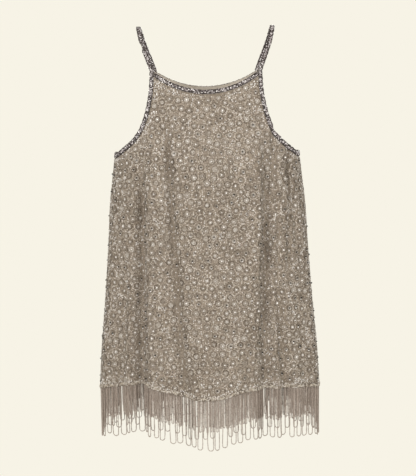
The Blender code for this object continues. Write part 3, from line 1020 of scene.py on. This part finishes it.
Ribbon = namedtuple("Ribbon", "middles across out width thickness")


def resample(ribbon, pitch):
    """The ribbon's frames at even steps along it."""
    lengths = lengths_along(ribbon.middles)
    count = max(2, round(lengths[-1] / pitch))
    stops = (np.arange(count) + 0.5) / count * lengths[-1]
    middles, across, out = (
        read_line(rows, lengths, stops) for rows in (ribbon.middles, ribbon.across, ribbon.out)
    )
    return ribbon._replace(middles=middles, across=unit(across), out=unit(out))


def band_directions(points, normals, hint):
    along = np.gradient(points, axis=0)
    away = unit(np.cross(along, normals))
    return away * np.where(np.sum(away * hint, axis=1) < 0, -1, 1)[:, None]


def corner_up(is_front, side):
    top = skin_points(*panel_places(is_front, np.array([side, side], float), np.array([0.0, 1.0])))
    return unit(top[0] - top[1])


def edge_ribbon(points, away, normals):
    reach = SEAM_GAP + BRAID_WIDTH / 2
    middles = points + away * reach + normals * (BRAID_PROUD - BRAID_THICKNESS / 2)
    return Ribbon(middles, away, normals, BRAID_WIDTH, BRAID_THICKNESS)


def neck_line(is_front):
    across = np.linspace(-1, 1, BRAID_ROWS + 1)
    places = panel_places(is_front, across, np.zeros(across.shape))
    points, normals = skin_points(*places), skin_normals(*places)
    away = band_directions(points, normals, np.array([0, 0, 1]))
    for index, side in ((0, -1), (-1, 1)):
        upward = corner_up(is_front, side)
        away[index] = upward / upward.dot(away[index])
    return points, away, normals


def armhole_line(side):
    rows = np.linspace(0, UNDERARM_ROW, BRAID_ROWS // 2 + 1)
    points, normals = [], []
    for is_front, order in ((True, rows), (False, rows[::-1])):
        places = panel_places(is_front, np.full(order.shape, float(side)), order)
        line, facing = skin_points(*places), skin_normals(*places)
        neck_away = neck_line(is_front)[1][-1 if side > 0 else 0]
        rise = corner_up(is_front, side) * np.linalg.norm(neck_away * (SEAM_GAP + BRAID_WIDTH))
        end = 0 if is_front else -1
        extra, extra_facing = line[end] + rise, facing[end]
        if is_front:
            line, facing = np.vstack([[extra], line]), np.vstack([[extra_facing], facing])
        else:
            line, facing = np.vstack([line[1:], [extra]]), np.vstack([facing[1:], [extra_facing]])
        points.append(line)
        normals.append(facing)
    points, normals = np.vstack(points), np.vstack(normals)
    away = band_directions(points, normals, np.array([side, 0, 1]))
    return points, away, normals


def strap_ribbon(side, twisted):
    points, away, normals = armhole_line(side)
    foot_reach = SEAM_GAP + BRAID_WIDTH / 2
    under = BRAID_PROUD - BRAID_THICKNESS
    feet = []
    for index, neighbour in ((0, 1), (-1, -2)):
        upward = unit(points[index] - points[neighbour])
        feet.append(points[index] + away[index] * foot_reach + normals[index] * under + upward * SEAM_GAP)
    stops = [np.array((side * stop.out, -stop.ahead, stop.height)) for stop in STRAP_ROUTE]
    stops = np.array([feet[0], *stops, feet[1]])
    knots = np.arange(len(stops)) * 1.0
    shares = np.linspace(0, 1, BRAID_ROWS + 1)
    places = np.stack([read_curve(knots, stops[:, axis], shares * knots[-1]) for axis in range(3)], -1)
    along = unit(np.gradient(places, axis=0))
    across = unit(np.array([1, 0, 0]) - along * along[:, :1])
    out = np.cross(across, along)
    for index in (0, -1):
        across[index], out[index] = away[index] * side, normals[index]
    middles = places + out * (BRAID_THICKNESS / 2)
    if twisted:
        turned = np.pi * ease((shares - TWIST_START) / (TWIST_END - TWIST_START))[:, None]
        across, out = (
            across * np.cos(turned) + out * np.sin(turned),
            out * np.cos(turned) - across * np.sin(turned),
        )
    return Ribbon(middles, across, out, STRAP_WIDTH, BRAID_THICKNESS)


def hem_line(is_front):
    across = np.linspace(-1, 1, 4 * BRAID_ROWS + 1)
    places = panel_places(is_front, across, np.full(across.shape, float(PANEL_ROWS)))
    points, normals = skin_points(*places), skin_normals(*places)
    points[[0, -1], 1] += SEAM_GAP / 2 * (-1 if is_front else 1)
    normals[:, 2] = 0
    return points, unit(normals)


def hem_ribbon(is_front):
    points, normals = hem_line(is_front)
    down = np.tile([0.0, 0.0, -1.0], (len(points), 1))
    middles = points + down * (HEM_TAPE_GAP + HEM_TAPE_HEIGHT / 2)
    middles = middles + normals * (HEM_TAPE_PROUD - HEM_TAPE_THICKNESS / 2)
    return Ribbon(middles, down, normals, HEM_TAPE_HEIGHT, HEM_TAPE_THICKNESS)


def build_ribbon(name, ribbon, inset, outer, inner):
    """A flat band along the ribbon's frames, this much smaller all round, with a finish for each face."""
    rows = len(ribbon.middles) - 1
    work = bmesh.new()
    bmesh.ops.create_grid(work, x_segments=2, y_segments=rows, size=0.5)
    bmesh.ops.solidify(work, geom=work.faces[:], thickness=1.0)
    uv = work.loops.layers.uv.new("Weave")
    lengths = lengths_along(ribbon.middles)
    for face in work.faces:
        face.smooth = True
        face.material_index = int(all(abs(vertex.co.z) > 0.5 for vertex in face.verts))
        for loop in face.loops:
            row = round((0.5 - loop.vert.co.y) * rows)
            loop[uv].uv = (lengths[row], loop.vert.co.x * ribbon.width)
    for vertex in work.verts:
        row = round((0.5 - vertex.co.y) * rows)
        side = -1 if abs(vertex.co.z) > 0.5 else 1
        sideways = vertex.co.x * (ribbon.width - 2 * inset)
        lift = side * (ribbon.thickness / 2 - inset)
        vertex.co = ribbon.middles[row] + ribbon.across[row] * sideways + ribbon.out[row] * lift
    bmesh.ops.recalc_face_normals(work, faces=work.faces[:])
    if work.calc_volume(signed=True) < 0:
        bmesh.ops.reverse_faces(work, faces=work.faces[:])
    mesh = mesh_of(name, work)
    mesh.set_sharp_from_angle(angle=math.radians(SHARP_BAND_ANGLE))
    return keep_piece(name, mesh, [outer, inner])


def braid_spots(ribbon, faces):
    """Stones in lanes on each of these faces of a band, and dark ones along both of its edges."""
    line = resample(ribbon, STONE_PITCH)
    count = len(line.middles)
    places, facing, shade = [], [], []
    for face in faces:
        for number, lane in enumerate(STONE_LANES):
            steps = np.arange(count) + 0.5 * (number % 2)
            wave = STONE_WAVE * np.sin(steps * 2 * np.pi / STONES_IN_TWIST)
            sideways = lane * ribbon.width + wave
            lift = face * (ribbon.thickness / 2 - BACKING_INSET)
            shift = (steps - np.arange(count))[:, None] * np.gradient(line.middles, axis=0)
            places.append(line.middles + shift + line.across * sideways[:, None] + line.out * lift)
            facing.append(line.out * face + line.across * lane * STONE_LEAN)
            in_twist = (steps + TWIST_SLANT * number) % STONES_IN_TWIST < DARK_STONES_IN_TWIST
            beyond_twist = BRIGHT_AT_EDGE if abs(lane) > EDGE_LANE else BRIGHT_IN_MIDDLE
            chance = np.where(in_twist, BRIGHT_IN_TWIST, beyond_twist)
            bright = rng.uniform(size=count) < chance
            tones = (rng.uniform(*ends, count) for ends in (BRIGHT_STONE_TONES, DARK_STONE_TONES))
            shade.append(np.where(bright, *tones))
    for edge in (-1, 1):
        places.append(line.middles + line.across * edge * (ribbon.width / 2 - EDGE_STONE_INSET))
        facing.append(line.across * edge)
        shade.append(rng.uniform(*EDGE_STONE_TONES, count))
    places, facing, shade = np.vstack(places), np.vstack(facing), np.concatenate(shade)
    return make_spots(places, unit(facing), tilt=0.18, size_swing=0.12, shade=shade)


def build_braids(materials):
    """The neck braids, armhole braids and straps: a backing band with stones on it."""
    stone = cut_stone("braid_stone_template", STONE_RADIUS, STONE_HEIGHT)
    ribbons = {
        "neck_braid_front": (edge_ribbon(*neck_line(True)), (1,)),
        "neck_braid_back": (edge_ribbon(*neck_line(False)), (1,)),
        "armhole_braid_left": (edge_ribbon(*armhole_line(1)), (1,)),
        "armhole_braid_right": (edge_ribbon(*armhole_line(-1)), (1,)),
        "strap_left": (strap_ribbon(1, False), (1, -1)),
        "strap_right": (strap_ribbon(-1, True), (1, -1)),
    }
    for node, (ribbon, faces) in ribbons.items():
        inner = materials["backing" if node.startswith("strap") else "reverse"]
        band = build_ribbon(f"{node}_backing", ribbon, BACKING_INSET, materials["backing"], inner)
        fit_on_body(band, node)
        stones = scatter(f"{node}_stones", stone, braid_spots(ribbon, faces), materials["braid"])
        fit_on_body(stones)


def loop_beads(points, normals, row, number):
    """Places and ways of the beads along one string that hangs from the hem in a loop."""
    lengths = lengths_along(points)
    share = (number + row.start + rng.uniform(-row.stray, row.stray)) / row.loops
    distance = np.clip(share, LOOP_END_SHARE, 1 - LOOP_END_SHARE) * lengths[-1]
    centre = read_line(points, lengths, distance)
    outward = unit(read_line(normals, lengths, distance))
    across = np.cross(outward, [0, 0, 1])
    width = row.width * rng.uniform(*LOOP_WIDTHS)
    root = width * rng.uniform(row.pinch, 1)
    length = row.length + rng.uniform(-row.swing, row.swing)
    lean = rng.normal(0, row.lean)
    radius = width / 2
    middle = mix(root, width, LOOP_WIDENING) / 2
    top = HEM_TAPE_GAP + HEM_TAPE_HEIGHT * LOOP_START
    drop = np.array([top, LOOP_MIDDLE * length, length - LOOP_TURN * width])
    angles = np.linspace(0, np.pi, LOOP_TURN_POINTS)[1:-1]
    aside = np.array([-root / 2, -middle, -radius, *(-radius * np.cos(angles)), radius, middle, root / 2])
    below = np.array([*drop, *(length - radius * (1 - np.sin(angles))), *drop[::-1]])
    aside = aside + lean * (below / length) ** 2
    path = centre + across * aside[:, None] - outward * row.inset
    path[:, 2] = centre[2] - below
    steps = lengths_along(path)
    beads = read_line(path, steps, np.arange(0, steps[-1], FRINGE_BEAD_PITCH))
    return beads, unit(np.gradient(beads, axis=0))


def build_strings(name, is_front, bead, material):
    """All the rows of bead strings that hang from one hem."""
    points, normals = hem_line(is_front)
    places, ways, shade = [], [], []
    for row in FRINGE_ROWS:
        for number in np.flatnonzero(rng.uniform(size=row.loops) >= row.skipped):
            beads, way = loop_beads(points, normals, row, number)
            places.append(beads)
            ways.append(way)
            tone = row.tone + rng.uniform(-LOOP_TONE_SWING, LOOP_TONE_SWING)
            swing = rng.uniform(-LOOP_BEAD_TONE_SWING, LOOP_BEAD_TONE_SWING, len(beads))
            shade.append(np.clip(tone + swing, 0, 1))
    spots = make_spots(np.vstack(places), np.vstack(ways), size_swing=0.08, shade=np.concatenate(shade))
    return scatter(name, bead, spots, material)


def cover_hem_tape(name, ribbon, material):
    """Lanes of seed beads over a hem tape."""
    line = resample(ribbon, HEM_BEAD_PITCH)
    lanes = []
    for lane in HEM_LANES:
        above = lane.above + rng.uniform(-HEM_BEAD_STRAY, HEM_BEAD_STRAY, (len(line.middles), 1))
        lanes.append(line.middles + line.out * (HEM_TAPE_THICKNESS / 2 - lane.sunk) - line.across * above)
    facing = np.tile(line.out, (len(HEM_LANES), 1))
    spots = make_spots(np.vstack(lanes), facing, tilt=0.2, size=1.1, size_swing=0.25)
    return scatter(name, sewn_bead(f"{name}_template"), spots, material)


def cluster_beads(name, ribbon, bead, material):
    """Uneven clusters of pale beads along a hem."""
    line = resample(ribbon, CLUSTER_PITCH)
    steps = np.arange(len(line.middles)) * CLUSTER_PITCH
    short, long = (2 * np.pi * steps / length for length in CLUSTER_LENGTHS)
    clusters = np.sin(short + 1) + LONG_CLUSTER_SHARE * np.sin(long)
    kept = clusters + rng.uniform(-CLUSTER_RAGGEDNESS, CLUSTER_RAGGEDNESS, len(steps)) > CLUSTER_LEAST
    facing = line.out[kept]
    places = line.middles[kept] + facing * (HEM_TAPE_THICKNESS / 2)
    stray = rng.uniform(-CLUSTER_STRAY, CLUSTER_STRAY, kept.sum())
    places[:, 2] += CLUSTER_RISE * (0.5 + clusters[kept]) + stray
    spots = make_spots(places, facing, tilt=0.3, size=1.2, size_swing=0.4)
    return scatter(name, bead, spots, material)


def build_fringe(is_front, materials):
    """The hem tape of a panel, the beads that cover it, and the strings that hang from it."""
    side = "front" if is_front else "back"
    node = f"fringe_{side}"
    ribbon = hem_ribbon(is_front)
    bead = string_bead(f"fringe_bead_template_{side}")
    tape = build_ribbon(
        f"hem_tape_{side}", ribbon, HEM_TAPE_INSET, materials["tape"], materials["reverse"]
    )
    strings = build_strings(f"fringe_strings_{side}", is_front, bead, materials["fringe"])
    covering = cover_hem_tape(f"hem_beads_{side}", ribbon, materials["seeds"])
    clusters = cluster_beads(f"hem_clusters_{side}", ribbon, bead, materials["pale"])
    return [
        fit_on_body(tape, node),
        fit_on_body(covering),
        fit_on_body(strings, node),
        fit_on_body(clusters),
    ]


def place_facing_gown(thing, place, roll=0.0):
    """Puts a camera or a light at this place, turned to the middle of the gown."""
    bpy.context.scene.collection.objects.link(thing)
    thing.location = place
    thing.rotation_mode = "QUATERNION"
    level = (CAMERA_AIM - thing.location).to_track_quat("-Z", "Y")
    thing.rotation_quaternion = level @ Quaternion((0, 0, 1), -math.radians(roll))


def add_light(row):
    light = bpy.data.lights.new(row.name, "AREA")
    light.shape = "RECTANGLE"
    light.size, light.size_y = row.size
    light.energy = row.power
    light.color = WARM_WHITE
    place_facing_gown(bpy.data.objects.new(row.name, light), row.place)


def add_camera():
    data = bpy.data.cameras.new("Camera")
    data.lens = CAMERA_LENS
    camera = bpy.data.objects.new("Camera", data)
    elevation = math.radians(CAMERA_ELEVATION)
    back = Vector((0, -math.cos(elevation), math.sin(elevation)))
    place_facing_gown(camera, CAMERA_AIM + back * CAMERA_DISTANCE, CAMERA_ROLL)
    bpy.context.scene.camera = camera


def build_stage():
    scene = bpy.context.scene
    world = bpy.data.worlds.new("Studio")
    scene.world = world
    world.use_nodes = True
    add = new_nodes(world.node_tree)
    seen = add("ShaderNodeLightPath").outputs["Is Camera Ray"]
    levels = {"Value": seen, "To Min": BACKDROP_LIGHTING, "To Max": BACKDROP_STRENGTH}
    strength = add("ShaderNodeMapRange", levels).outputs[0]
    glow = add("ShaderNodeBackground", {"Color": (*CREAM, 1), "Strength": strength})
    add("ShaderNodeOutputWorld", {"Surface": glow.outputs[0]})

    work = bmesh.new()
    bmesh.ops.create_grid(work, x_segments=1, y_segments=1, size=FLOOR_HALF_WIDTH)
    bmesh.ops.translate(work, verts=work.verts[:], vec=(0, 0, FLOOR_HEIGHT))
    material, add = new_material("Pale floor")
    light = add("ShaderNodeEmission", {"Color": (*CREAM, 1), "Strength": BACKDROP_STRENGTH})
    add("ShaderNodeOutputMaterial", {"Surface": light.outputs[0]})
    floor = keep_piece("floor", mesh_of("floor", work), [material])
    floor.visible_diffuse = False
    floor.visible_glossy = False
    floor.visible_shadow = False

    for row in LIGHTS:
        add_light(row)
    scene.view_settings.view_transform = "Standard"
    scene.view_settings.look = "None"


add_camera()
build_stage()
SCATTER = scatter_group()
MATERIALS = build_materials()
silks = {side: build_silk(f"{side}_silk", side == "front", MATERIALS) for side in CUTS}
for side, silk in silks.items():
    fit_on_body(silk, f"{side}_panel")
beading = build_beading(MATERIALS)
build_braids(MATERIALS)
fringes = {side: build_fringe(side == "front", MATERIALS) for side in CUTS}
for template in [thing for thing in bpy.data.objects if "_template" in thing.name]:
    bpy.data.objects.remove(template, do_unlink=True)
